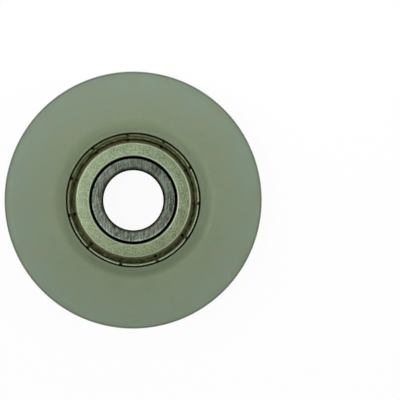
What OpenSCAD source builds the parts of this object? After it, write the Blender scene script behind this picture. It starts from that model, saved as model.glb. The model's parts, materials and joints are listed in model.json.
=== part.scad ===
// Grooved nylon roller moulded round a shielded deep groove ball bearing.
// Millimetres. The axis of rotation is Z, and the origin is the centre of the bore at mid width.

/* [Wheel] */
// Outside diameter of the rims
wheel_d = 50; // [46:0.5:70]
// Width across the two faces
wheel_w = 16; // [14:0.5:24]
// Bevel on each outer edge, measured along the axis
bevel_w = 0.7; // [0.3:0.1:1.5]
// Bevel on each outer edge, measured along the radius
bevel_h = 1.2; // [0.5:0.1:2]
// Radius that softens both ends of the bevel
bevel_soft_r = 0.4; // [0.1:0.1:0.6]

/* [Rope groove] */
// Radius of the groove's round section
groove_r = 4.85; // [3.6:0.05:6]
// Depth of the groove below the rims
groove_depth = 3; // [1:0.1:3.5]
// Bevel where the groove opens into a rim
mouth_bevel = 0.2; // [0.1:0.05:0.4]

/* [Bearing seat] */
// Depth of the recess round the bearing, below each face of the wheel
recess_depth = 1.2; // [0.6:0.1:2.2]
// How far the nylon stops short of the outer ring's inner edge
lip_back = 0.1; // [0.05:0.05:0.5]
// Width of the recess's floor, from the bearing to the foot of its sloping wall
floor_w = 0.8; // [0.7:0.1:2.5]
// Width of the sloping wall between the floor and the face
slope_w = 1.4; // [1:0.1:3]
// Fillet between the floor and the sloping wall
floor_fillet_r = 1.2; // [0.2:0.1:1.5]
// Rounding where the sloping wall meets the face
slope_edge_r = 1.8; // [0.2:0.1:2]
// Rounding on the edge of the lip
lip_edge_r = 0.1; // [0.05:0.05:0.2]

/* [Bearing] */
// Bore of the inner ring
bore_d = 12; // [10:0.5:13]
// Outside diameter of the outer ring
bearing_d = 32; // [30:0.5:36]
// Width of both rings
bearing_w = 10; // [10:0.5:13]
// Corner radius of both rings
ring_corner_r = 0.6; // [0.2:0.1:1]
// Small edge break on the rings' other edges
edge_break = 0.08; // [0.02:0.02:0.12]

/* [Balls and raceways] */
// Number of balls
ball_count = 7; // [5:1:7]
// Ball diameter
ball_d = 5.953; // [5.2:0.001:6.4]
// Running clearance between a ball and each raceway
ball_clearance = 0.02; // [0.01:0.01:0.06]
// Section radius of a raceway as a share of the ball diameter
conformity = 0.52; // [0.515:0.005:0.54]
// Depth of each raceway below its shoulder
race_depth = 1.18; // [0.9:0.02:1.2]

/* [Cage] */
// Sheet thickness of the cage
cage_t = 0.5; // [0.3:0.05:0.6]
// Width of the cage ribbon along the radius
cage_w = 2.1; // [1.8:0.1:2.5]
// Clearance between a ball and its pocket
pocket_clearance = 0.1; // [0.05:0.05:0.15]
// Shank diameter of a cage rivet
rivet_d = 1; // [0.7:0.1:1.2]
// Head diameter of a cage rivet
rivet_head_d = 1.7; // [1.4:0.1:1.9]
// Head height of a cage rivet
rivet_head_h = 0.45; // [0.3:0.05:0.8]

/* [Shields] */
// Sheet thickness of a shield
shield_t = 0.3; // [0.2:0.05:0.35]
// How far the flat of a shield lies below the ring faces
shield_setback = 0.15; // [0.05:0.05:0.25]
// Gap between a shield and the inner ring
shield_gap = 0.4; // [0.2:0.05:0.6]
// Length of the flange at a shield's inner edge
flange_h = 0.7; // [0.55:0.05:0.9]
// Depth of the shoulder that a shield seats on, below the ring face
seat_depth = 1.25; // [1.15:0.05:1.35]
// Height of that shoulder above the outer ring's land
seat_step = 0.24; // [0.2:0.02:0.4]
// Undercut that holds a shield's rim under the edge of the outer ring
undercut = 0.11; // [0.06:0.01:0.2]
// Height of a shield's curled rim
curl_h = 0.8; // [0.75:0.05:0.9]
// Width of the curled rim between the middles of its two walls
curl_w = 0.52; // [0.5:0.02:0.7]
// Width of the trough between the curled rim and the pressed step
trough_w = 0.52; // [0.36:0.02:0.6]
// Width of the pressed step
step_w = 0.8; // [0.6:0.05:1]
// Bend radius in the middle of the sheet
bend_r = 0.22; // [0.18:0.01:0.24]
// Wider bend radius where the flat of a shield falls into the step
edge_bend_r = 0.42; // [0.3:0.02:0.5]
// Depth of the notch round each end of the inner ring, below its land
notch_h = 1.06; // [0.5:0.02:1.1]
// Length of that notch along the axis
notch_w = 1.3; // [1.1:0.05:1.5]

/* [Shield slits] */
// Number of slits in a shield's curled rim
slit_count = 11; // [6:1:16]
// Width of a slit where it crosses the trough
slit_w = 0.06; // [0.04:0.02:0.3]
// Width of a slit where it opens over the curl
slit_mouth_w = 0.7; // [0.4:0.05:1]
// Diameter of the round end of a slit
slit_end_d = 0.6; // [0.4:0.02:0.7]
// Angle of the first slit
slit_angle = -3; // [-16:0.5:16]

/* [Hidden] */
$fn = 96;
arc_steps = 4;

wheel_r = wheel_d / 2;
bearing_r = bearing_d / 2;
bore_r = bore_d / 2;
ball_r = ball_d / 2;
pitch_r = (bore_r + bearing_r) / 2;

face_z = wheel_w / 2;
ring_z = bearing_w / 2;
lip_z = face_z - recess_depth;
seat_z = ring_z - seat_depth;

race_r = conformity * ball_d;
inner_race_r = pitch_r - ball_r - ball_clearance;
outer_race_r = pitch_r + ball_r + ball_clearance;
inner_land_r = inner_race_r + race_depth;
outer_land_r = outer_race_r - race_depth;
inner_end_r = inner_land_r - notch_h;
outer_end_r = outer_land_r + seat_step;
rim_r = outer_end_r + undercut;
lip_r = outer_end_r + lip_back;

pocket_r = ball_r + pocket_clearance;
curl_z = seat_z + curl_h;
hook_z = curl_z - (bend_r + shield_t / 2) / 2;
curl_r = rim_r - shield_t / 2;
trough_r = curl_r - curl_w;
step_r = trough_r - trough_w;
slit_end_r = step_r - step_w / 4;
slit_open_r = trough_r + curl_w / 4;

nylon = "#8a9784";
ground_steel = "#8b9087";
polished_steel = "#c4c8ca";
cage_steel = "#a8a79b";
zinc_steel = "#a3ad97";

// Sections are lists of corners [radius, height, rounding], and these turn them into outlines.

function unit(v) = v / norm(v);
function flat(p) = [p[0], p[1]];
function left_of(v) = [-v[1], v[0]];
function reversed(list) = [for (i = [len(list) - 1:-1:0]) list[i]];
function turned(v, angle) =
    [v[0] * cos(angle) - v[1] * sin(angle), v[0] * sin(angle) + v[1] * cos(angle)];

// The arc that rounds corner b between its neighbours a and c
function corner_arc(a, b, c, r) =
    let (
        u = unit(a - b),
        w = unit(c - b),
        half = acos(u * w) / 2,
        centre = b + unit(u + w) * r / sin(half),
        start = b + u * r / tan(half) - centre,
        turn = (180 - 2 * half) * sign(cross(w, u))
    )
    [for (i = [0:arc_steps]) centre + turned(start, turn * i / arc_steps)];

function rounded(corners) =
    let (n = len(corners))
    [for (i = [0:n - 1])
        let (b = corners[i])
        each b[2] > 0
            ? corner_arc(flat(corners[(i + n - 1) % n]), flat(b), flat(corners[(i + 1) % n]), b[2])
            : [flat(b)]];

// A section that is the same above and below mid width, given by its upper half
function both_sides(half) = concat(half, [for (p = reversed(half)) [p[0], -p[1], p[2]]]);

// The way along stretch i of a path, where the first and last stretches run on past the ends
function heading(path, i) =
    let (k = max(0, min(i, len(path) - 2)))
    unit(flat(path[k + 1]) - flat(path[k]));

// One face of a bent sheet: side is 1 for the left of its middle path and -1 for the right
function sheet_face(path, t, side) =
    [for (i = [0:len(path) - 1])
        let (
            before = left_of(heading(path, i - 1)),
            after = left_of(heading(path, i)),
            face = flat(path[i]) + (before + after) / (1 + before * after) * side * t / 2,
            bend = path[i][2] - sign(cross(before, after)) * side * t / 2
        )
        [face[0], face[1], path[i][2] > 0 ? bend : 0]];

// The section of a bent sheet whose middle follows a path of corners
function sheet(path, t) = concat(sheet_face(path, t, 1), reversed(sheet_face(path, t, -1)));

module turned_section(half) rotate_extrude() polygon(rounded(both_sides(half)));

module at_balls(offset = 0)
    for (i = [1:ball_count]) at_ball(i + offset) children();

module at_ball(i)
    rotate(360 / ball_count * (i - 1)) translate([pitch_r, 0]) children();

// Half the width of the rope groove at a depth below the rims
function groove_half_w(depth) = sqrt(pow(groove_r, 2) - pow(groove_r - groove_depth + depth, 2));

module groove_section() {
    translate([wheel_r - groove_depth + groove_r, 0]) circle(groove_r);
    mouth = groove_half_w(mouth_bevel);
    in = [wheel_r - 2 * mouth_bevel, mouth - mouth_bevel];
    out = [wheel_r + mouth_bevel, mouth + 2 * mouth_bevel];
    polygon([in, out, [out[0], -out[1]], [in[0], -in[1]]]);
}

module wheel_body() color(nylon) rotate_extrude() difference() {
    polygon(rounded(both_sides([
        [lip_r, lip_z, lip_edge_r],
        [lip_r + floor_w, lip_z, floor_fillet_r],
        [lip_r + floor_w + slope_w, face_z, slope_edge_r],
        [wheel_r - bevel_h, face_z, bevel_soft_r],
        [wheel_r, face_z - bevel_w, bevel_soft_r],
    ])));
    polygon(rounded(both_sides([[0, ring_z, 0], [bearing_r, ring_z, ring_corner_r]])));
    groove_section();
}

module bearing_outer_ring() color(ground_steel) rotate_extrude() difference() {
    polygon(rounded(both_sides([
        [outer_land_r, seat_z, edge_break],
        [rim_r, seat_z, 0],
        [rim_r, hook_z, 0],
        [outer_end_r, hook_z + undercut, 0],
        [outer_end_r, ring_z, edge_break],
        [bearing_r, ring_z, ring_corner_r],
    ])));
    translate([outer_race_r - race_r, 0]) circle(race_r);
}

module bearing_inner_ring() color(ground_steel) rotate_extrude() difference() {
    polygon(rounded(both_sides([
        [bore_r, ring_z, ring_corner_r],
        [inner_end_r, ring_z, edge_break],
        [inner_end_r, ring_z - notch_w, 0],
        [inner_land_r, ring_z - notch_w - notch_h / 2, edge_break],
    ])));
    translate([inner_race_r + race_r, 0]) circle(race_r);
}

module ball(i) color(polished_steel) at_ball(i) sphere(d = ball_d);

// One half of the cage: a flat ribbon with a round pocket pressed over each ball
module cage_half() color(cage_steel) difference() {
    intersection() {
        rotate_extrude() translate([pitch_r - cage_w / 2, 0]) square([cage_w, pocket_r + 2 * cage_t]);
        union() {
            cylinder(r = pitch_r + cage_w, h = cage_t);
            at_balls() sphere(pocket_r + cage_t);
        }
    }
    at_balls() sphere(pocket_r);
    at_balls(0.5) cylinder(d = rivet_d, h = 4 * cage_t, center = true);
}

module cage_front() cage_half();

module cage_back() mirror([0, 0, 1]) cage_half();

module cage_rivet(i) color(cage_steel) at_ball(i + 0.5) turned_section([
    [0, cage_t + rivet_head_h, 0],
    [rivet_head_d / 2, cage_t + rivet_head_h, rivet_head_h * 0.8],
    [rivet_head_d / 2, cage_t, 0],
    [rivet_d / 2, cage_t, 0],
]);

module slit() {
    slit_far = rim_r + 1;
    translate([slit_end_r, 0]) circle(d = slit_end_d);
    translate([slit_end_r, -slit_w / 2]) square([slit_far - slit_end_r, slit_w]);
    polygon([
        [slit_open_r, 0],
        [curl_r, slit_mouth_w / 2],
        [slit_far, slit_mouth_w / 2],
        [slit_far, -slit_mouth_w / 2],
        [curl_r, -slit_mouth_w / 2],
    ]);
}

// The pressed shield: inner flange, flat, step, trough and curled rim, slit all round the rim
module shield() color(zinc_steel) difference() {
    flat_z = ring_z - shield_setback - shield_t / 2;
    inner_r = inner_end_r + shield_gap + shield_t / 2;
    rotate_extrude() polygon(rounded(sheet([
        [inner_r, flat_z + shield_t / 2 - flange_h, 0],
        [inner_r, flat_z, bend_r],
        [step_r - step_w, flat_z, edge_bend_r],
        [step_r, seat_z + shield_t / 2, bend_r],
        [trough_r, seat_z + shield_t / 2, bend_r],
        [trough_r, curl_z - shield_t / 2, bend_r],
        [curl_r, curl_z - shield_t / 2, bend_r],
        [curl_r, seat_z, 0],
    ], shield_t)));
    for (i = [0:slit_count - 1])
        rotate(slit_angle + 360 / slit_count * i)
            linear_extrude(height = ring_z + 1) slit();
}

module shield_front() shield();

// The back shield's slits stand half way between those of the front one
module shield_back() mirror([0, 0, 1]) rotate(180 / slit_count) shield();

wheel_body();
bearing_outer_ring();
bearing_inner_ring();
for (i = [1:ball_count]) {
    ball(i);
    cage_rivet(i);
}
cage_front();
cage_back();
shield_front();
shield_back();
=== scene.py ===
"""A grooved nylon wheel on a shielded ball bearing, finished round its packed model."""

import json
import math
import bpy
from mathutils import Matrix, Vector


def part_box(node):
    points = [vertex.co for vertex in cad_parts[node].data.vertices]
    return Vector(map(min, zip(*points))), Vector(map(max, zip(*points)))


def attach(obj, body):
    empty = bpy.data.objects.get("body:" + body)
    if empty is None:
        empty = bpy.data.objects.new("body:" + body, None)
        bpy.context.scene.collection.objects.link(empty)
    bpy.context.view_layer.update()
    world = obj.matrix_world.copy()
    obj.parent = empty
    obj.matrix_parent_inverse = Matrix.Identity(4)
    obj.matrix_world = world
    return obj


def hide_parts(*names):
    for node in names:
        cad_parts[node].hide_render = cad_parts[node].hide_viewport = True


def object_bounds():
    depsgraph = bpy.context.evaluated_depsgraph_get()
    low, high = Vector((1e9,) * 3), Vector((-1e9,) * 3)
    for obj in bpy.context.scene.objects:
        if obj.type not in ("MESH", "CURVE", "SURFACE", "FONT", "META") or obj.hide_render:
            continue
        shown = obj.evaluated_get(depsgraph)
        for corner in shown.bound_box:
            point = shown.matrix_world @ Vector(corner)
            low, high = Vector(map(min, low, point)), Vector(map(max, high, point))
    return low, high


bl_info = {
    "name": "Groove Wheel",
    "version": (1, 0, 0),
    "blender": (4, 5, 0),
    "location": "View3D > Sidebar > Groove Wheel",
    "description": "Turned, pressed and moulded surfaces for a grooved wheel and its ball bearing",
    "category": "Add Mesh",
}

import bpy
from bpy.props import FloatProperty, FloatVectorProperty, IntProperty, PointerProperty
from mathutils import Matrix, Vector

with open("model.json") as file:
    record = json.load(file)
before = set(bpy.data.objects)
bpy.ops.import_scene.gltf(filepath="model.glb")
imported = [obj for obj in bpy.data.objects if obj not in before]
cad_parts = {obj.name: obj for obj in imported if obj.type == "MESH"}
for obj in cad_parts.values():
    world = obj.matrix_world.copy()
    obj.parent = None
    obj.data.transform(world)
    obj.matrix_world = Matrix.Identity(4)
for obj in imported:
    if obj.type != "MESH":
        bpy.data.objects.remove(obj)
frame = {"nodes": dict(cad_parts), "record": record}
cad_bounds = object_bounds()

MM = 0.001


# Sizes and colours that can be changed in the sidebar


def number(name, description, default, **options):
    """A plain number, or an angle or a length in metres where the options say so."""
    return FloatProperty(name=name, description=description, default=default, **options)


def length(name, description, default):
    """A length in millimetres."""
    return number(name, description, default, min=0.0, precision=3)


def colour(name, description, default):
    """A linear colour."""
    options = {"size": 3, "subtype": "COLOR", "min": 0.0, "max": 1.0}
    return FloatVectorProperty(name=name, description=description, default=default, **options)


class WheelSizes(bpy.types.PropertyGroup):
    """The nylon wheel, in millimetres."""

    groove_r: length("Groove radius", "Radius of the rope groove's round section", 4.85)
    groove_depth: length("Groove depth", "Depth of the groove below the rims", 3.0)
    mouth_bevel: length("Mouth bevel", "Bevel where the groove opens into a rim", 0.2)
    bevel_w: length("Bevel width", "Bevel on each outer edge, along the axis", 0.7)
    bevel_h: length("Bevel height", "Bevel on each outer edge, along the radius", 1.2)
    bevel_soft_r: length("Bevel rounding", "Radius that softens the bevel's outer end", 0.4)
    bevel_face_r: length("Bevel blend", "Radius that blends the bevel into the face", 1.4)
    recess_depth: length("Recess", "Depth of the recess round the bearing", 1.2)
    lip_back: length("Lip setback", "How far the nylon stops short of the outer ring's edge", 0.1)
    lip_round: length("Lip rounding", "Rounding of the nylon's lip", 0.1)
    floor_w: length("Floor", "Width of the recess's floor", 0.8)
    slope_w: length("Slope", "Width of the wall between the floor and the face", 1.4)
    floor_fillet_r: length("Floor fillet", "Fillet between the floor and the slope", 1.2)
    slope_edge_r: length("Slope edge", "Rounding where the slope meets the face", 1.8)


class BearingSizes(bpy.types.PropertyGroup):
    """The bearing's rings, in millimetres."""

    corner_r: length("Ring corners", "Corner radius of both rings", 0.6)
    edge_break: length("Edge break", "Rounding on the rings' other edges", 0.08)
    race_depth: length("Race depth", "Depth of each raceway below its shoulder", 1.18)
    ball_clearance: length("Ball clearance", "Gap between a ball and each raceway", 0.02)
    conformity: number("Conformity", "Raceway radius as a share of the ball diameter", 0.52)
    seat_depth: length("Seat depth", "Depth of the shield's shoulder below the ring face", 1.25)
    seat_step: length("Seat step", "Height of that shoulder above the land", 0.24)
    undercut: length("Undercut", "Undercut that holds the shield's rim", 0.11)
    notch_h: length("Notch height", "Depth of the notch round each end of the inner ring", 1.06)
    notch_w: length("Notch width", "Length of that notch along the axis", 1.3)


class ShieldSizes(bpy.types.PropertyGroup):
    """The pressed shields, in millimetres."""

    sheet_t: length("Sheet", "Sheet thickness", 0.3)
    setback: length("Setback", "How far the flat lies below the ring faces", 0.15)
    gap: length("Gap", "Gap to the inner ring", 0.4)
    flange_h: length("Flange", "Length of the flange at the inner edge", 0.7)
    crown: length("Crown", "How far the flat falls towards the step", 0.1)
    bend_r: length("Bend", "Bend radius in the middle of the sheet", 0.22)
    edge_bend_r: length("Edge bend", "Wider bend where the flat falls into the step", 0.42)
    curl_h: length("Curl height", "Height of the curled rim", 0.8)
    curl_w: length("Curl width", "Width between the middles of the curl's walls", 0.52)
    trough_w: length("Trough", "Width of the trough inside the curl", 0.52)
    step_w: length("Step", "Width of the pressed step", 0.8)
    slit_w: length("Slit", "Width of a slit where it crosses the trough", 0.02)
    slit_mouth_w: length("Slit mouth", "Width of a slit where it opens over the curl", 0.7)
    slit_end_d: length("Slit end", "Diameter of a slit's round end", 0.6)
    slit_count: IntProperty(name="Slits", description="How many slits", default=11, min=1)
    slit_angle: number("First slit", "Angle of the first slit", math.radians(-3), subtype="ANGLE")


class Finishes(bpy.types.PropertyGroup):
    """The colours of the surfaces."""

    nylon: colour("Nylon", "Moulded nylon", (0.206, 0.256, 0.149))
    nylon_shade: colour("Nylon shade", "Darker clouds in the nylon", (0.194, 0.242, 0.137))
    # Painted light: bluer nylon towards the rims, as if the backdrop shone through the thin rim
    nylon_rim_backlight: colour("Nylon rim", "Nylon near the rims", (0.205, 0.270, 0.188))
    nylon_warm: colour("Nylon warm", "Warmer patches in the nylon", (0.219, 0.250, 0.153))
    # Partly painted light: drawn lighter than the face so that the sides look lit, besides the
    # turned finish
    lit_nylon_tread: colour("Nylon tread", "Turned surface round the groove", (0.272, 0.305, 0.222))
    # Also painted shade in the recess round the bearing, where the steel shows through the thin
    # nylon; elsewhere the darker mottle and turning marks
    nylon_dark_and_recess_shade: colour("Nylon lip", "Nylon that the steel shows through", (0.166, 0.203, 0.118))
    nylon_foot: colour("Nylon foot", "Shaded lower side of the recess", (0.142, 0.184, 0.102))
    # Painted light that lifts the shade on the recess's slope
    nylon_slope_light: colour("Nylon slope", "Cleaner slope of the recess", (0.216, 0.268, 0.156))
    # Also a painted dark outline on the rims' outer corners, besides the tread's dark specks
    nylon_specks_and_outline_shade: colour("Nylon edge", "Handled corners of the rims", (0.075, 0.092, 0.064))
    ring: colour("Ring steel", "Ground steel of the rings", (0.066, 0.077, 0.058))
    ring_warm: colour("Warm ring steel", "Steel with a breath of rust", (0.098, 0.092, 0.074))
    # Painted highlight on edges of the rings and the shields
    bright: colour("Bright edge", "Steel polished by handling", (0.240, 0.270, 0.200))
    # Painted shade: the bore is drawn near black, with its honing rings
    bore: colour("Bore", "Honed, oiled bore", (0.017, 0.019, 0.015))
    shield: colour("Shield", "Plated sheet of the shields", (0.110, 0.134, 0.078))
    warm_shield: colour("Warm shield", "Yellowed plating of the shields", (0.112, 0.130, 0.070))
    # The grease colours partly stand for painted shade in the shield's step and trough
    grease: colour("Grease", "Old brown grease in the trough", (0.066, 0.069, 0.017))
    thin_grease_and_shade: colour("Thin grease", "Grease wiped thin over the step", (0.178, 0.187, 0.080))
    # Painted shade in creases and gaps, on the bore's chamfer and on one side of the rings
    painted_shade: colour("Dirt", "Dark dirt in the creases", (0.008, 0.0085, 0.0025))
    cage: colour("Cage", "Dull, greasy sheet of the cage", (0.10, 0.095, 0.075))
    ball: colour("Ball", "Polished balls under a film of grease", (0.24, 0.24, 0.22))
    backdrop: colour("Backdrop", "Floor and surroundings", (1.0, 1.0, 1.0))


class StageSettings(bpy.types.PropertyGroup):
    """Floor, lamps and camera."""

    camera_height: number("Camera height", "Height above the front face", 0.4, unit="LENGTH")
    camera_drop: number("Camera drop", "How far it stands below the axis", 0.002, unit="LENGTH")
    camera_pan: number("Camera pan", "Angle past the wheel", math.radians(1.852), subtype="ANGLE")
    lens: number("Lens", "Focal length in millimetres", 185.5)
    sky: number("Sky", "Strength of the even light all round", 0.46)
    horizon: number("Horizon", "Strength of the light added low down, all round", 1.5)
    lamp: number("Lamps", "Share of each lamp's full power", 1.0, min=0.0)


SETTINGS = {
    "wheel_sizes": WheelSizes,
    "bearing_sizes": BearingSizes,
    "shield_sizes": ShieldSizes,
    "finishes": Finishes,
    "stage_settings": StageSettings,
}


# How finely the curves are cut

ROUNDING_STEPS = 8
GROOVE_STEPS = 72
RACE_STEPS = 40
SLIT_END_STEPS = 10
CROWN_STEPS = 6
WHEEL_COLUMNS = 256
RING_COLUMNS = 192
SLIT_TO_SLIT_COLUMNS = 22

SOFT_TURN = math.radians(20)  # An outline that turns by less than this is shaded smooth
NEAR = 1e-6  # Millimetres


# Sections: corners (radius, height, rounding) become stops on an outline


class Stop:
    """A point of an outline, with the outward normal on either side of it."""

    def __init__(self, point, before, after):
        self.point = point
        self.before = before
        self.after = after


def left_of(v):
    """The direction a quarter turn anticlockwise of v."""
    return Vector((-v.y, v.x))


def turned(v, angle):
    """The direction v, turned anticlockwise by an angle."""
    cos, sin = math.cos(angle), math.sin(angle)
    return Vector((v.x * cos - v.y * sin, v.x * sin + v.y * cos))


def turn_between(a, b):
    """The signed angle from direction a to direction b."""
    return math.atan2(a.x * b.y - a.y * b.x, a.dot(b))


def trace(corners, closed=True):
    """The stops of an outline that runs clockwise, so that its outside is on the left."""
    points = [Vector(c[:2]) for c in corners]
    count = len(points)
    stops = []
    for i, (point, (_, _, radius)) in enumerate(zip(points, corners)):
        first = not closed and i == 0
        last = not closed and i == count - 1
        ahead = (points[(i + 1) % count] - point).normalized() if not last else None
        behind = (point - points[i - 1]).normalized() if not first else ahead
        ahead = ahead or behind
        turn = turn_between(behind, ahead)
        if radius > 0 and not first and not last:
            reach = radius * math.tan(abs(turn) / 2)
            side = math.copysign(1, turn)
            centre = point - behind * reach + left_of(behind) * radius * side
            for step in range(ROUNDING_STEPS + 1):
                normal = left_of(turned(behind, turn * step / ROUNDING_STEPS))
                stops.append(Stop(centre - normal * radius * side, normal, normal))
        elif abs(turn) < SOFT_TURN:
            normal = left_of(behind + ahead).normalized()
            stops.append(Stop(point, normal, normal))
        else:
            stops.append(Stop(point, left_of(behind), left_of(ahead)))
    return stops


def mirrored(corners):
    """The same corners on the other side of mid width, from the last to the first."""
    return [(r, -z, rounding) for r, z, rounding in reversed(corners)]


def arc(centre, radius, start, end, steps):
    """Corners along an arc, from one angle to another."""
    angles = [start + (end - start) * i / steps for i in range(steps + 1)]
    return [(centre + radius * math.cos(a), radius * math.sin(a), 0) for a in angles]


# Meshes


class Draft:
    """Points, faces and the normals at their corners, gathered before they become a mesh."""

    def __init__(self):
        self.points = []
        self.faces = []
        self.normals = []

    def point(self, radius, angle, z):
        """Adds a point, given in millimetres, and returns its number."""
        self.points.append((radius * math.cos(angle) * MM, radius * math.sin(angle) * MM, z * MM))
        return len(self.points) - 1

    def face(self, corners, normals):
        """Adds a face of four points, with a normal for each."""
        self.faces.append(corners)
        self.normals.extend(normals)

    def plain_face(self, corners):
        """A flat face that takes its own normal."""
        a, b, c = (Vector(self.points[i]) for i in corners[:3])
        normal = (b - a).cross(c - b).normalized()
        self.face(corners, [normal] * len(corners))

    def flip(self):
        """Mirrors everything to the other side of mid width."""
        self.points = [(x, y, -z) for x, y, z in self.points]
        self.faces = [tuple(reversed(face)) for face in self.faces]
        groups = [self.normals[i:i + 4] for i in range(0, len(self.normals), 4)]
        self.normals = [Vector((n.x, n.y, -n.z)) for group in groups for n in reversed(group)]

    def made(self, name, finish):
        """The finished object."""
        mesh = bpy.data.meshes.new(name)
        mesh.from_pydata(self.points, [], self.faces)
        mesh.shade_smooth()
        mesh.normals_split_custom_set(self.normals)
        mesh.materials.append(finish)
        piece = bpy.data.objects.new(name, mesh)
        bpy.context.scene.collection.objects.link(piece)
        return piece


def swung(normal, angle):
    """A section's normal, turned with the section to an angle round the axis."""
    return Vector((normal.x * math.cos(angle), normal.x * math.sin(angle), normal.y))


def turned_piece(name, stops, columns, finish):
    """A closed section turned once round the axis."""
    draft = Draft()
    angles = [2 * math.pi * j / columns for j in range(columns)]
    grid = [[draft.point(stop.point.x, a, stop.point.y) for a in angles] for stop in stops]
    for i, row in enumerate(grid):
        ahead = (i + 1) % len(stops)
        start, end = stops[i].after, stops[ahead].before
        for j, a in enumerate(angles):
            k = (j + 1) % columns
            b = angles[k]
            corners = (row[j], grid[ahead][j], grid[ahead][k], row[k])
            draft.face(corners, [swung(start, a), swung(end, a), swung(end, b), swung(start, b)])
    return draft.made(name, finish)


class Slits:
    """The plan of the slits in a shield's rim. Their widths are kept as half widths."""

    def __init__(self, sizes, step_r, trough_r, curl_r):
        self.count = sizes.slit_count
        self.first = sizes.slit_angle
        self.narrow = sizes.slit_w / 2
        self.mouth = sizes.slit_mouth_w / 2
        self.end = sizes.slit_end_d / 2
        self.open_r = trough_r + sizes.curl_w / 4
        self.mouth_r = curl_r
        self.end_r = step_r - sizes.step_w / 4
        self.root_r = self.end_r - self.end

    def half_width(self, r):
        """Half the width of a slit at a radius, as an angle."""
        opened = min(max((r - self.open_r) / (self.mouth_r - self.open_r), 0), 1)
        reach = self.end * self.end - (r - self.end_r) ** 2
        return max(self.narrow, self.mouth * opened, math.sqrt(max(reach, 0))) / r

    def stations(self):
        """Radii that follow a slit's round end and its mouth."""
        half_turn = [math.pi * i / SLIT_END_STEPS for i in range(SLIT_END_STEPS + 1)]
        round_end = [self.end_r - self.end * math.cos(a) for a in half_turn]
        return round_end + [self.open_r, (self.open_r + self.mouth_r) / 2]

    def columns(self, r, shift):
        """Angles at a radius: one side of a slit, the other side, then even steps to the next."""
        pitch = 2 * math.pi / self.count
        half = self.half_width(r)
        angles = []
        for s in range(self.count):
            middle = self.first + pitch * (s + shift)
            angles.append(middle - half)
            for k in range(SLIT_TO_SLIT_COLUMNS):
                angles.append(middle + half + (pitch - 2 * half) * k / SLIT_TO_SLIT_COLUMNS)
        return angles


def stopped_at(stops, radii):
    """The same path, with one more stop wherever it passes one of the radii."""
    path = stops[:1]
    for behind, ahead in zip(stops, stops[1:]):
        start, end = behind.point.x, ahead.point.x
        for r in radii:
            if start + NEAR < r < end - NEAR:
                share = (r - start) / (end - start)
                normal = behind.after.lerp(ahead.before, share).normalized()
                path.append(Stop(behind.point.lerp(ahead.point, share), normal, normal))
        path.append(ahead)
    return path


def pressed_piece(name, stops, sheet_t, slits, flipped, finish):
    """A bent sheet turned round the axis. Flipped, its slits stand half a pitch further on."""
    stops = stopped_at(stops, slits.stations())
    angles = [slits.columns(stop.point.x, 0.5 if flipped else 0.0) for stop in stops]
    draft = Draft()

    def layer(offset):
        """The points of one side of the sheet, at an offset from its middle."""
        places = [stop.point + stop.after * offset for stop in stops]
        return [[draft.point(p.x, a, p.y) for a in row] for p, row in zip(places, angles)]

    top, under = layer(sheet_t / 2), layer(-sheet_t / 2)
    root = next(i for i, stop in enumerate(stops) if stop.point.x > slits.root_r - NEAR)
    last = len(stops) - 1
    columns = len(angles[0])
    for j in range(columns):
        k = (j + 1) % columns
        in_slit = j % (SLIT_TO_SLIT_COLUMNS + 1) == 0
        end = root if in_slit else last
        for i in range(end):
            a, b = stops[i].after, stops[i + 1].after
            near, far = angles[i], angles[i + 1]
            normals = [swung(a, near[j]), swung(b, far[j]), swung(b, far[k]), swung(a, near[k])]
            draft.face((top[i][j], top[i + 1][j], top[i + 1][k], top[i][k]), normals)
            normals = [-n for n in reversed(normals)]
            draft.face((under[i][k], under[i + 1][k], under[i + 1][j], under[i][j]), normals)
        for i in range(end, last):
            draft.plain_face((top[i][j], top[i + 1][j], under[i + 1][j], under[i][j]))
            draft.plain_face((top[i][k], under[i][k], under[i + 1][k], top[i + 1][k]))
        draft.plain_face((top[0][j], top[0][k], under[0][k], under[0][j]))
        draft.plain_face((top[end][j], under[end][j], under[end][k], top[end][k]))
    if flipped:
        draft.flip()
    return draft.made(name, finish)


# Finishes: radii, heights and spacings are in millimetres, and masks run from 0 to 1


class Signal:
    """A number that varies over a surface. Arithmetic on it adds Math nodes."""

    def __init__(self, nodes, socket):
        self.nodes = nodes
        self.socket = socket

    def worked(self, operation, first, second=0.0):
        """The result of one Math node."""
        made = self.nodes.node("ShaderNodeMath", {"operation": operation}, {0: first, 1: second})
        return Signal(self.nodes, made.outputs[0])

    def __add__(self, other):
        return self.worked("ADD", self, other)

    def __sub__(self, other):
        return self.worked("SUBTRACT", self, other)

    def __rsub__(self, other):
        return self.worked("SUBTRACT", other, self)

    def __mul__(self, other):
        return self.worked("MULTIPLY", self, other)

    def __truediv__(self, other):
        return self.worked("DIVIDE", self, other)

    def __rtruediv__(self, other):
        return self.worked("DIVIDE", other, self)

    def __pow__(self, other):
        return self.worked("POWER", self, other)

    def __rpow__(self, other):
        return self.worked("POWER", other, self)

    def __abs__(self):
        return self.worked("ABSOLUTE", self)

    __radd__ = __add__
    __rmul__ = __mul__

    def eased(self, low, high):
        """0 below low and 1 above high, with a smooth change between."""
        made = self.nodes.node(
            "ShaderNodeMapRange",
            {"interpolation_type": "SMOOTHSTEP"},
            {"Value": self, "From Min": low, "From Max": high},
        )
        return Signal(self.nodes, made.outputs[0])

    def band(self, low, high, fade):
        """1 between low and high, fading to 0 outside them."""
        return self.eased(low - fade, low) * (1.0 - self.eased(high, high + fade))

    def clamped(self):
        """The same number, kept from 0 to 1."""
        return self.worked("MINIMUM", self.worked("MAXIMUM", self, 0.0), 1.0)

    def fraction(self):
        return self.worked("FRACT", self)

    def cosine(self):
        return self.worked("COSINE", self)

    def towards(self, degrees):
        """From an angle in turns: 1 in one direction from the axis, easing to 0 opposite it."""
        return 0.5 + (self * (2 * math.pi) - math.radians(degrees)).cosine() * 0.5


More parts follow.
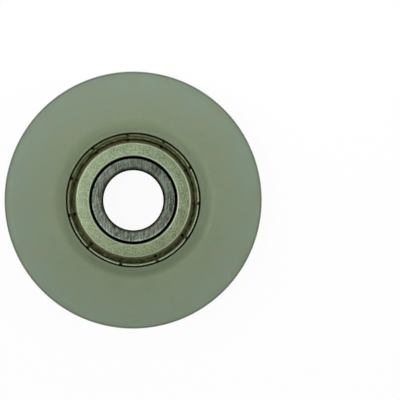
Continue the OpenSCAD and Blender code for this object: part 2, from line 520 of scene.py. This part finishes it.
class Nodes:
    """A node tree, and short ways to add to it."""

    def __init__(self, tree):
        self.tree = tree

    def node(self, kind, settings=None, sockets=None):
        """A new node: its settings first, and then a value or a link for each socket."""
        made = self.tree.nodes.new(kind)
        for name, value in (settings or {}).items():
            setattr(made, name, value)
        for name, value in (sockets or {}).items():
            self.feed(made.inputs[name], value)
        return made

    def feed(self, socket, value):
        """Links a signal or a socket, or sets a plain value."""
        if isinstance(value, Signal):
            value = value.socket
        if isinstance(value, bpy.types.NodeSocket):
            self.tree.links.new(value, socket)
        else:
            socket.default_value = value

    def direct_ray(self):
        """1 for a ray from the camera, a reflection or a clear surface, and 0 for any other."""
        path = self.node("ShaderNodeLightPath")
        names = ("Is Camera Ray", "Is Glossy Ray", "Is Transmission Ray")
        camera, glossy, through = (Signal(self, path.outputs[name]) for name in names)
        return (camera + glossy + through).clamped()


class Finish(Nodes):
    """A material that varies over its surface."""

    def __init__(self, name, constants=None):
        self.material = bpy.data.materials.new(name)
        self.material.use_nodes = True
        super().__init__(self.material.node_tree)
        self.shader = self.tree.nodes["Principled BSDF"]
        for socket, value in (constants or {}).items():
            self.shader.inputs[socket].default_value = value
        self.place = self.node("ShaderNodeTexCoord").outputs["Object"]

    def shows(self, socket, value):
        """Feeds one of the surface's own inputs."""
        self.feed(self.shader.inputs[socket], value)

    def scaled_place(self, spacing, heading=0.0):
        """The place on the object, in steps of a spacing in millimetres along each axis."""
        place = self.place
        if heading:
            settings, sockets = {"rotation_type": "Z_AXIS"}, {"Vector": place, "Angle": heading}
            place = self.node("ShaderNodeVectorRotate", settings, sockets).outputs[0]
        settings, steps = {"operation": "MULTIPLY"}, tuple(1 / (s * MM) for s in spacing)
        return self.node("ShaderNodeVectorMath", settings, {0: place, 1: steps}).outputs[0]

    def noise(self, spacing, detail=2.0, seed=0.0, roughness=0.5, heading=0.0):
        """Noise from 0 to 1, with features of a spacing in millimetres, turned to a heading."""
        spacing = spacing if isinstance(spacing, tuple) else (spacing,) * 3
        made = self.node(
            "ShaderNodeTexNoise",
            {"noise_dimensions": "4D"},
            {
                "Vector": self.scaled_place(spacing, heading),
                "W": seed,
                "Scale": 1.0,
                "Detail": detail,
                "Roughness": roughness,
            },
        )
        return Signal(self, made.outputs[0])

    def rings(self, spacing, seed):
        """Noise that is the same all the way round the axis, as a turning tool leaves it."""
        radius, _, height = self.polar()
        sockets = {0: radius / spacing, 1: seed, 2: height / spacing}
        place = self.node("ShaderNodeCombineXYZ", None, sockets).outputs[0]
        made = self.node("ShaderNodeTexNoise", None, {"Vector": place, "Scale": 1.0, "Detail": 2.0})
        return Signal(self, made.outputs[0])

    def polar(self):
        """Radius in millimetres, angle in turns and height in millimetres."""
        parts = self.node("ShaderNodeSeparateXYZ", None, {0: self.scaled_place((1, 1, 1))})
        x, y, z = (Signal(self, parts.outputs[i]) for i in range(3))
        angle = x.worked("ARCTAN2", y, x) / (2 * math.pi)
        return (x * x + y * y) ** 0.5, angle, z

    def mixed(self, share, first, second):
        """The first colour, which turns into the second as share goes from 0 to 1."""
        sockets = {0: share, 6: opaque(first), 7: opaque(second)}
        return self.node("ShaderNodeMix", {"data_type": "RGBA"}, sockets).outputs[2]

    def relief(self, height, depth):
        """Bumps of a depth in millimetres."""
        sockets = {"Strength": 1.0, "Distance": depth * MM, "Height": height}
        self.shows("Normal", self.node("ShaderNodeBump", None, sockets).outputs[0])


def opaque(shade):
    """A colour with its alpha, where it is a plain colour and not a socket."""
    return shade if isinstance(shade, bpy.types.NodeSocket) else (*shade, 1.0)


def toned(shade, share):
    """A plain colour, darker or lighter by a share."""
    return [part * share for part in shade]


def moulded_nylon(looks):
    """Cloudy, translucent nylon with a satin skin, darkened with painted shade in the recess round
    the bearing, where the steel also shows through the thin nylon.
    """
    f = Finish(
        "moulded_nylon",
        {
            "Specular IOR Level": 0.3,
            "Subsurface Weight": 1.0,
            "Subsurface Radius": (1.0, 1.0, 0.9),
            "Subsurface Scale": MM,
        },
    )
    radius, angle, height = f.polar()
    clouds = f.noise(11.0, detail=3.0, seed=2.0)
    patches = f.noise(3.0, detail=3.0, seed=21.0, roughness=0.6)
    mottle = f.noise(0.8, detail=2.0, seed=33.0, roughness=0.7)
    grain = f.noise(0.22, detail=2.0, seed=5.0)
    base = f.mixed(clouds.eased(0.35, 0.7), looks.nylon, looks.nylon_shade)
    base = f.mixed(mottle.eased(0.45, 0.75) * 0.5, base, looks.nylon_dark_and_recess_shade)
    # Painted light towards the rims, as if the backdrop shone through the thin nylon
    base = f.mixed(radius.eased(15.0, 24.5), base, looks.nylon_rim_backlight)
    base = f.mixed(patches.eased(0.42, 0.66) * 0.85, base, looks.nylon_warm)
    # Painted light on the recess's slope, lifting its shade
    slope = radius.band(14.8, 15.2, 0.6)
    base = f.mixed(slope * 0.6, base, looks.nylon_slope_light)
    # Painted shade in the recess round the bearing, where the steel also shows through the thin
    # nylon
    lip = 1.0 - radius.eased(13.4, 14.4)
    base = f.mixed(lip, base, looks.nylon_dark_and_recess_shade)
    low = angle.towards(279)
    shaded = low * low * (1.0 - radius.eased(14.2, 15.8))
    base = f.mixed(shaded, base, looks.nylon_foot)
    off_centre = abs(height)
    # Painted shade: a dark line at the foot of the recess wall, by the gap at the shield's curl
    lip_gap_shade = (1.0 - radius.eased(13.13, 13.22)) * (1.0 - off_centre.eased(5.4, 6.6) * 0.8)
    base = f.mixed(lip_gap_shade, base, looks.painted_shade)
    # Painted shade: a dark outline on the rims' outer corners
    corner = radius.eased(24.45, 24.75) * off_centre.eased(6.9, 7.2)
    base = f.mixed(corner * 0.7, base, looks.nylon_specks_and_outline_shade)
    # The tread is partly painted light, lighter than the face, besides its turned finish
    tread = (1.0 - off_centre.eased(7.2, 7.5)) * radius.eased(20.0, 21.0)
    base = f.mixed(tread * 0.8, base, looks.lit_nylon_tread)
    turning = f.rings(0.16, seed=40.0) * 0.7 + f.rings(0.7, seed=44.0) * 0.3
    base = f.mixed(tread * turning.eased(0.35, 0.7) * 0.3, base, looks.nylon_dark_and_recess_shade)
    specks = f.noise(0.7, detail=1.0, seed=50.0).eased(0.74, 0.8) * tread
    f.shows("Base Color", f.mixed(specks * 0.8, base, looks.nylon_specks_and_outline_shade))
    f.shows("Roughness", 0.42 + grain * 0.12)
    f.relief(grain + f.noise(2.5, seed=8.0) * 3.0 + tread * turning * 1.5, 0.006)
    return f.material


def ground_steel(looks):
    """Ground steel with a painted highlight on an edge and painted shade on one side, a honed bore
    drawn near black as painted shade, and painted shade in the gaps by the shields.
    """
    f = Finish("ground_steel", {"Specular IOR Level": 0.0})
    radius, angle, _ = f.polar()
    streaks = f.noise((0.14, 1.3, 0.4), detail=3.0, seed=3.0, roughness=0.65)
    slant = math.radians(48)
    hatching = f.noise((0.13, 0.9, 0.4), detail=2.0, seed=25.0, roughness=0.6, heading=slant)
    scores = f.noise((0.35, 4.0, 0.4), detail=2.0, seed=12.0)
    stains = f.noise((2.6, 4.5, 2.0), detail=2.0, seed=17.0)
    flecks = f.noise(0.3, detail=2.0, seed=6.0)
    bore = 1.0 - radius.eased(6.06, 6.22)
    # Painted shade in the gaps beside the shields
    gap_shade = (radius.band(8.12, 8.6, 0.03) + radius.eased(10.5, 11.0)).clamped()
    marks = (streaks * 0.42 + hatching * 0.28 + scores * 0.18 + stains * 0.12).eased(0.41, 0.59)
    base = f.mixed(marks, toned(looks.ring, 0.22), toned(looks.ring, 2.05))
    base = f.mixed(flecks.eased(0.5, 0.66) * 0.4, base, looks.ring_warm)
    # Painted shade on the upper right of the rings, and a painted highlight on the inner ring's
    # lower left edge
    lit_side = angle.towards(240)
    base = f.mixed((1.0 - lit_side) * 0.25, base, looks.painted_shade)
    polished = radius.band(7.84, 8.04, 0.08) * marks * lit_side
    base = f.mixed(polished, base, looks.bright)
    base = f.mixed(gap_shade, base, looks.painted_shade)
    # Painted shade: the bore and its chamfer are drawn near black, with lighter honing rings
    honing = f.rings(0.14, seed=60.0).eased(0.3, 0.7)
    honed = f.mixed(honing, toned(looks.bore, 0.75), toned(looks.bore, 1.25))
    chamfer = radius.eased(6.01, 6.08)
    honed = f.mixed(chamfer, honed, looks.painted_shade)
    f.shows("Base Color", f.mixed(bore, base, honed))
    f.shows("Metallic", 1.0 - bore)
    f.shows("Roughness", 0.34 + streaks * 0.2 + bore * 0.3)
    f.relief(streaks * 2.0 + hatching + flecks, 0.004)
    return f.material


def plated_sheet(looks, slits):
    """Pressed sheet with a grainy satin plating, painted highlights on its lip and edges, and
    grease in its trough that is partly painted shade.
    """
    f = Finish("plated_sheet", {"Specular IOR Level": 0.1})
    radius, angle, _ = f.polar()
    grain = f.noise(0.3, detail=3.0, seed=4.0, roughness=0.75)
    clouds = f.noise(2.2, detail=3.0, seed=9.0, roughness=0.6)
    smears = f.noise((0.9, 0.9, 0.3), detail=3.0, seed=14.0)
    upper_side = angle.towards(100)
    plating = (grain * 0.82 + clouds * 0.18).eased(0.38, 0.62)
    warmth = (1.0 - upper_side) * 0.6
    dull, pale = (
        f.mixed(warmth, toned(looks.shield, share), toned(looks.warm_shield, share))
        for share in (0.54, 1.46)
    )
    base = f.mixed(plating, dull, pale)
    # Painted highlights on the inner lip, on the flat's outer edge, stronger to the right, and on
    # top of the curl
    lip = 1.0 - radius.eased(8.84, 8.98)
    edge = radius.band(10.98, 11.2, 0.08)
    crest_glint = radius.band(12.7, 12.78, 0.06)
    tight = angle.towards(20)
    polished = (lip * 0.75 + edge * (0.2 + tight * 0.6) + crest_glint * 0.5).clamped()
    base = f.mixed(polished, base, looks.bright)
    # Grease in the step and trough, partly painted shade there; darker towards the top, and the
    # curl's upper side darkened, both as painted shade
    trough = radius.eased(11.14, 11.36) * (1.0 - radius.eased(12.45, 12.62))
    rim = radius.eased(12.4, 12.6) * upper_side ** 2.0
    greasy = (trough * (0.6 + smears.eased(0.35, 0.6) * 0.4) + rim * 0.8).clamped()
    thick_grease_and_shade = radius.eased(11.3, 11.8) + upper_side * 0.3 + smears.eased(0.35, 0.65) * 0.9 - 0.75
    base = f.mixed(greasy, base, f.mixed(thick_grease_and_shade.clamped(), looks.thin_grease_and_shade, looks.grease))
    # Painted shade in the creases, the gaps and the slit ends
    crease_shade = creases(angle, radius, smears, tight, slits)
    f.shows("Base Color", f.mixed((crease_shade * (0.7 + smears * 0.5)).clamped(), base, looks.painted_shade))
    f.shows("Metallic", 1.0 - greasy * 0.8)
    roughness = 0.34 + grain * 0.1 + clouds * 0.06 + greasy * 0.1
    f.shows("Roughness", roughness - lip * 0.06 - edge * 0.03 - crest_glint * 0.06)
    f.relief(grain, 0.006)
    return f.material


def creases(angle, radius, smears, tight, slits):
    """Where painted shade lies on a shield: at its foot, its two edges and the two ends of each
    slit.
    """
    blotches = 0.6 + smears.eased(0.35, 0.62) * 0.4
    low = angle.towards(250)
    inward = radius - low * 0.3
    crease_shade = inward.band(11.84, 12.02, 0.2) * blotches
    crease_shade = crease_shade + inward.band(12.0, 12.1, 0.14) * low * blotches * 0.5
    crease_shade = crease_shade + (radius + tight * 0.12).eased(12.92, 13.0)
    crease_shade = crease_shade + (1.0 - radius.eased(8.58, 8.7))
    turns = (angle - slits.first / (2 * math.pi)) * slits.count + 0.5
    aside = abs(turns.fraction() - 0.5) * radius * (2 * math.pi / slits.count)
    root_spot = (slits.end_r, 0.24, 0.37)
    mouth_spot = (slits.mouth_r - 0.17, 0.3, 0.42)
    for middle, dark_r, clean_r in (root_spot, mouth_spot):
        along = radius - middle
        distance = (aside * aside + along * along) ** 0.5
        crease_shade = crease_shade + (1.0 - distance.eased(dark_r, clean_r))
    return crease_shade


def dull_cage(looks):
    """Unpolished pressed steel with a film of oil."""
    f = Finish("dull_cage", {"Metallic": 1.0})
    grain = f.noise(0.25, detail=3.0, seed=7.0)
    f.shows("Base Color", f.mixed(grain, toned(looks.cage, 0.85), looks.cage))
    f.shows("Roughness", 0.38 + grain * 0.15)
    f.relief(grain, 0.004)
    return f.material


def polished_ball(looks):
    """Bright balls with the faintest haze."""
    f = Finish("polished_ball", {"Metallic": 1.0})
    haze = f.noise(1.2, detail=2.0, seed=1.0)
    f.shows("Base Color", f.mixed(haze, looks.ball, toned(looks.ball, 0.93)))
    f.shows("Roughness", 0.06 + haze * 0.06)
    return f.material


# The bearing's main radii and heights, worked out from the frame


class BearingPlan:
    """Radii and heights of the bearing, in millimetres."""

    def __init__(self, bearing):
        _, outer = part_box("bearing_outer_ring")
        low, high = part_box("ball_1")
        self.bearing_r = outer.x / MM
        self.ring_z = outer.z / MM
        self.ball_r = (high.z - low.z) / 2 / MM
        self.pitch_r = (low.x + high.x) / 2 / MM
        mounts = {mount["name"]: mount for mount in frame["record"]["mounts"]}
        self.bore_r = mounts["bore"]["dims"]["r_mm"]
        self.race_r = bearing.conformity * self.ball_r * 2
        self.inner_race_r = self.pitch_r - self.ball_r - bearing.ball_clearance
        self.outer_race_r = self.pitch_r + self.ball_r + bearing.ball_clearance
        self.inner_land_r = self.inner_race_r + bearing.race_depth
        self.outer_land_r = self.outer_race_r - bearing.race_depth
        self.inner_end_r = self.inner_land_r - bearing.notch_h
        self.outer_end_r = self.outer_land_r + bearing.seat_step
        self.rim_r = self.outer_end_r + bearing.undercut
        self.seat_z = self.ring_z - bearing.seat_depth
        self.corner_r = bearing.corner_r


def raceway(centre, radius, land):
    """Corners of a raceway cut into a land, from its upper edge to its lower one."""
    upper = math.acos((land - centre) / radius)
    lower = -upper if land > centre else 2 * math.pi - upper
    return arc(centre, radius, upper, lower, RACE_STEPS)


def wheel_section(sizes, plan):
    """The nylon wheel's outline, clockwise from the upper lip."""
    _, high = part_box("wheel_body")
    wheel_r, face_z = high.x / MM, high.z / MM
    lip_r = plan.outer_end_r + sizes.lip_back
    lip_z = face_z - sizes.recess_depth
    foot_r = lip_r + sizes.floor_w
    centre = wheel_r - sizes.groove_depth + sizes.groove_r
    bevel, softening = sizes.mouth_bevel, sizes.mouth_bevel / 3
    inset = sizes.groove_r - sizes.groove_depth + bevel
    mouth = math.sqrt(sizes.groove_r ** 2 - inset ** 2)
    start = math.atan2(mouth, wheel_r - bevel - centre)
    groove = arc(centre, sizes.groove_r, start, 2 * math.pi - start, GROOVE_STEPS)
    for end in (0, -1):
        groove[end] = (*groove[end][:2], softening)
    upper = [
        (lip_r, lip_z, sizes.lip_round),
        (foot_r, lip_z, sizes.floor_fillet_r),
        (foot_r + sizes.slope_w, face_z, sizes.slope_edge_r),
        (wheel_r - sizes.bevel_h, face_z, sizes.bevel_face_r),
        (wheel_r, face_z - sizes.bevel_w, sizes.bevel_soft_r),
        (wheel_r, mouth + bevel, softening),
    ]
    seat = [(plan.bearing_r, plan.ring_z, plan.corner_r), (lip_r, plan.ring_z, 0)]
    return upper + groove + mirrored(upper) + mirrored(seat) + seat


def outer_ring_section(sizes, plan, shield):
    """The outer ring's outline, with an undercut that closes over the shield's curled rim."""
    hook_z = plan.seat_z + shield.curl_h - (shield.bend_r + shield.sheet_t / 2) / 2
    edge = sizes.edge_break
    half = [
        (plan.outer_land_r, plan.seat_z, edge),
        (plan.rim_r, plan.seat_z, 0),
        (plan.rim_r, hook_z, 0),
        (plan.outer_end_r, hook_z + sizes.undercut, 0),
        (plan.outer_end_r, plan.ring_z, edge),
        (plan.bearing_r, plan.ring_z, sizes.corner_r),
    ]
    race = raceway(plan.outer_race_r - plan.race_r, plan.race_r, plan.outer_land_r)
    return half + mirrored(half) + list(reversed(race))


def inner_ring_section(sizes, plan):
    """The inner ring's outline."""
    edge = sizes.edge_break
    half = [
        (plan.bore_r, plan.ring_z, sizes.corner_r),
        (plan.inner_end_r, plan.ring_z, edge),
        (plan.inner_end_r, plan.ring_z - sizes.notch_w, 0),
        (plan.inner_land_r, plan.ring_z - sizes.notch_w - sizes.notch_h / 2, edge),
    ]
    race = raceway(plan.inner_race_r + plan.race_r, plan.race_r, plan.inner_land_r)
    return half + race + mirrored(half)


def shield_path(sizes, plan):
    """The middle of a shield's sheet, from inner flange to the end of its curl, and its slits."""
    flat_z = plan.ring_z - sizes.setback - sizes.sheet_t / 2
    foot_z = plan.seat_z + sizes.sheet_t / 2
    crest_z = plan.seat_z + sizes.curl_h - sizes.sheet_t / 2
    inner_r = plan.inner_end_r + sizes.gap + sizes.sheet_t / 2
    curl_r = plan.rim_r - sizes.sheet_t / 2
    trough_r = curl_r - sizes.curl_w
    step_r = trough_r - sizes.trough_w
    edge_r = step_r - sizes.step_w
    # The crown's first two steps are left to the bend
    shares = [i / CROWN_STEPS for i in range(2, CROWN_STEPS)]
    crown = [(inner_r + (edge_r - inner_r) * s, flat_z - sizes.crown * s * s, 0) for s in shares]
    bend = sizes.bend_r
    path = [
        (inner_r, flat_z + sizes.sheet_t / 2 - sizes.flange_h, 0),
        (inner_r, flat_z, bend),
        *crown,
        (edge_r, flat_z - sizes.crown, sizes.edge_bend_r),
        (step_r, foot_z, bend),
        (trough_r, foot_z, bend),
        (trough_r, crest_z, bend),
        (curl_r, crest_z, bend),
        (curl_r, plan.seat_z, 0),
    ]
    return path, Slits(sizes, step_r, trough_r, curl_r)


# Operators


def placed(piece, body, node):
    """Sets a piece on its body, in the place of its packed node."""
    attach(piece, body)
    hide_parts(node)


class GROOVEWHEEL_OT_wheel(bpy.types.Operator):
    """Makes the nylon wheel"""

    bl_idname = "groove_wheel.wheel"
    bl_label = "Nylon wheel"

    def execute(self, context):
        scene = context.scene
        plan = BearingPlan(scene.bearing_sizes)
        stops = trace(wheel_section(scene.wheel_sizes, plan))
        nylon = moulded_nylon(scene.finishes)
        wheel = turned_piece("nylon_wheel", stops, WHEEL_COLUMNS, nylon)
        placed(wheel, "wheel", "wheel_body")
        return {"FINISHED"}


class GROOVEWHEEL_OT_rings(bpy.types.Operator):
    """Makes the bearing's two rings"""

    bl_idname = "groove_wheel.rings"
    bl_label = "Bearing rings"

    def execute(self, context):
        scene = context.scene
        sizes = scene.bearing_sizes
        plan = BearingPlan(sizes)
        steel = ground_steel(scene.finishes)
        stops = trace(outer_ring_section(sizes, plan, scene.shield_sizes))
        ring = turned_piece("turned_outer_ring", stops, RING_COLUMNS, steel)
        placed(ring, "wheel", "bearing_outer_ring")
        stops = trace(inner_ring_section(sizes, plan))
        ring = turned_piece("turned_inner_ring", stops, RING_COLUMNS, steel)
        placed(ring, "inner_ring", "bearing_inner_ring")
        return {"FINISHED"}


class GROOVEWHEEL_OT_shields(bpy.types.Operator):
    """Makes the two pressed shields"""

    bl_idname = "groove_wheel.shields"
    bl_label = "Shields"

    def execute(self, context):
        scene = context.scene
        sizes = scene.shield_sizes
        path, slits = shield_path(sizes, BearingPlan(scene.bearing_sizes))
        stops = trace(path, closed=False)
        sheet = plated_sheet(scene.finishes, slits)
        for side, flipped in (("front", False), ("back", True)):
            name = f"pressed_shield_{side}"
            shield = pressed_piece(name, stops, sizes.sheet_t, slits, flipped, sheet)
            placed(shield, "wheel", f"shield_{side}")
        return {"FINISHED"}


class GROOVEWHEEL_OT_inner_pieces(bpy.types.Operator):
    """Finishes the balls and cage inside the bearing"""

    bl_idname = "groove_wheel.inner_pieces"
    bl_label = "Balls and cage"

    def execute(self, context):
        looks = context.scene.finishes
        finishes = {"ball_": polished_ball(looks), "cage_": dull_cage(looks)}
        for name, node in frame["nodes"].items():
            for start, finish in finishes.items():
                if name.startswith(start):
                    for slot in node.material_slots:
                        slot.material = finish
        return {"FINISHED"}


FLOOR_REACH = 3.0
FLOOR_GLOW = 0.94  # Share of even white that a direct ray sees; the rest takes the shadow
SPOT = {
    "energy": 8.8,
    "color": (0.84, 0.90, 1.0),
    "spot_size": math.radians(13.4),
    "spot_blend": 1.0,
    "shadow_soft_size": 0.06,
}
STRIP = {"shape": "RECTANGLE", "size": 0.06, "size_y": 0.25}
CENTRE = (0.0, 0.0, 0.0)
LAMPS = (
    ("top_spot", "SPOT", SPOT, (-0.13, 0.02, 0.58), (0.002, 0.041, 0.0)),
    ("left_strip", "AREA", {**STRIP, "energy": 0.20}, (-0.20, 0.03, 0.33), CENTRE),
    ("right_strip", "AREA", {**STRIP, "energy": 0.23}, (0.20, 0.03, 0.33), CENTRE),
    ("far_strip", "AREA", {**STRIP, "energy": 0.04}, (0.0, 0.20, 0.33), CENTRE),
)


class GROOVEWHEEL_OT_stage(bpy.types.Operator):
    """Sets the floor, the light and the camera"""

    bl_idname = "groove_wheel.stage"
    bl_label = "Stage"

    def execute(self, context):
        scene = context.scene
        settings = scene.stage_settings
        self.light_the_room(scene, settings)
        self.lay_the_floor(scene)
        self.hang_the_lamps(scene, settings)
        self.stand_the_camera(scene, settings)
        scene.view_settings.view_transform = "Standard"
        return {"FINISHED"}

    def light_the_room(self, scene, settings):
        """Soft light from all round, more of it low down, and a plain backdrop."""
        world = bpy.data.worlds.new("room")
        world.use_nodes = True
        scene.world = world
        room = Nodes(world.node_tree)
        background = world.node_tree.nodes["Background"]
        way = room.node("ShaderNodeTexCoord").outputs["Generated"]
        upward = Signal(room, room.node("ShaderNodeSeparateXYZ", None, {0: way}).outputs[2])
        low_down = 1.0 - abs(upward).eased(0.1, 0.4)
        soft = settings.sky + low_down * settings.horizon
        direct = room.direct_ray()
        room.feed(background.inputs["Strength"], soft * (1.0 - direct) + direct)
        room.feed(background.inputs["Color"], opaque(scene.finishes.backdrop))

    def lay_the_floor(self, scene):
        """A white floor under the wheel, which shows its own colour and keeps the shadow."""
        matt = {"Base Color": (0.95, 0.95, 0.95, 1), "Roughness": 0.9, "Specular IOR Level": 0.0}
        f = Finish("white_floor", matt)
        white = opaque(scene.finishes.backdrop)
        glow = f.node("ShaderNodeEmission", None, {"Color": white, "Strength": 1.0})
        sockets = {0: f.direct_ray() * FLOOR_GLOW, 1: f.shader.outputs[0], 2: glow.outputs[0]}
        mix = f.node("ShaderNodeMixShader", None, sockets)
        f.feed(f.tree.nodes["Material Output"].inputs["Surface"], mix.outputs[0])
        corners = [(-1, -1), (1, -1), (1, 1), (-1, 1)]
        points = [(x * FLOOR_REACH, y * FLOOR_REACH, cad_bounds[0].z) for x, y in corners]
        mesh = bpy.data.meshes.new("floor")
        mesh.from_pydata(points, [], [(0, 1, 2, 3)])
        mesh.materials.append(f.material)
        floor = bpy.data.objects.new("floor", mesh)
        scene.collection.objects.link(floor)

    def hang_the_lamps(self, scene, settings):
        """A soft spot from above, and strips on the left, the right and the far side."""
        for name, kind, values, place, target in LAMPS:
            light = bpy.data.lights.new(name, kind)
            for key, value in values.items():
                setattr(light, key, value)
            light.energy *= settings.lamp
            lamp = bpy.data.objects.new(name, light)
            scene.collection.objects.link(lamp)
            lamp.location = place
            back = Vector(place) - Vector(target)
            lamp.rotation_euler = back.to_track_quat("Z", "Y").to_euler()

    def stand_the_camera(self, scene, settings):
        """A long lens above the wheel's face, a little below its axis and panned past it."""
        data = bpy.data.cameras.new("camera")
        data.lens = settings.lens
        data.sensor_width = 36.0
        data.clip_start = 0.01
        camera = bpy.data.objects.new("camera", data)
        scene.collection.objects.link(camera)
        height = cad_bounds[1].z + settings.camera_height
        tilt = math.atan2(settings.camera_drop, settings.camera_height)
        camera.location = (0.0, -settings.camera_drop, height)
        look = Matrix.Rotation(tilt, 4, "X") @ Matrix.Rotation(-settings.camera_pan, 4, "Y")
        camera.rotation_euler = look.to_euler()
        scene.camera = camera


class GROOVEWHEEL_PT_panel(bpy.types.Panel):
    """Lists the pieces and their settings"""

    bl_idname = "GROOVEWHEEL_PT_panel"
    bl_label = "Groove Wheel"
    bl_space_type = "VIEW_3D"
    bl_region_type = "UI"
    bl_category = "Groove Wheel"

    def draw(self, context):
        for operator in OPERATORS:
            self.layout.operator(operator.bl_idname)
        for name, group in SETTINGS.items():
            box = self.layout.box()
            box.label(text=group.__doc__)
            for prop in group.__annotations__:
                box.prop(getattr(context.scene, name), prop)


OPERATORS = (
    GROOVEWHEEL_OT_wheel,
    GROOVEWHEEL_OT_rings,
    GROOVEWHEEL_OT_shields,
    GROOVEWHEEL_OT_inner_pieces,
    GROOVEWHEEL_OT_stage,
)
CLASSES = (*SETTINGS.values(), *OPERATORS, GROOVEWHEEL_PT_panel)


def register():
    for cls in CLASSES:
        bpy.utils.register_class(cls)
    for name, group in SETTINGS.items():
        setattr(bpy.types.Scene, name, PointerProperty(type=group))


def unregister():
    for name in SETTINGS:
        delattr(bpy.types.Scene, name)
    for cls in reversed(CLASSES):
        bpy.utils.unregister_class(cls)


def main():
    register()
    bpy.ops.groove_wheel.stage()
    bpy.ops.groove_wheel.wheel()
    bpy.ops.groove_wheel.rings()
    bpy.ops.groove_wheel.shields()
    bpy.ops.groove_wheel.inner_pieces()


if __name__ == "__main__":
    main()
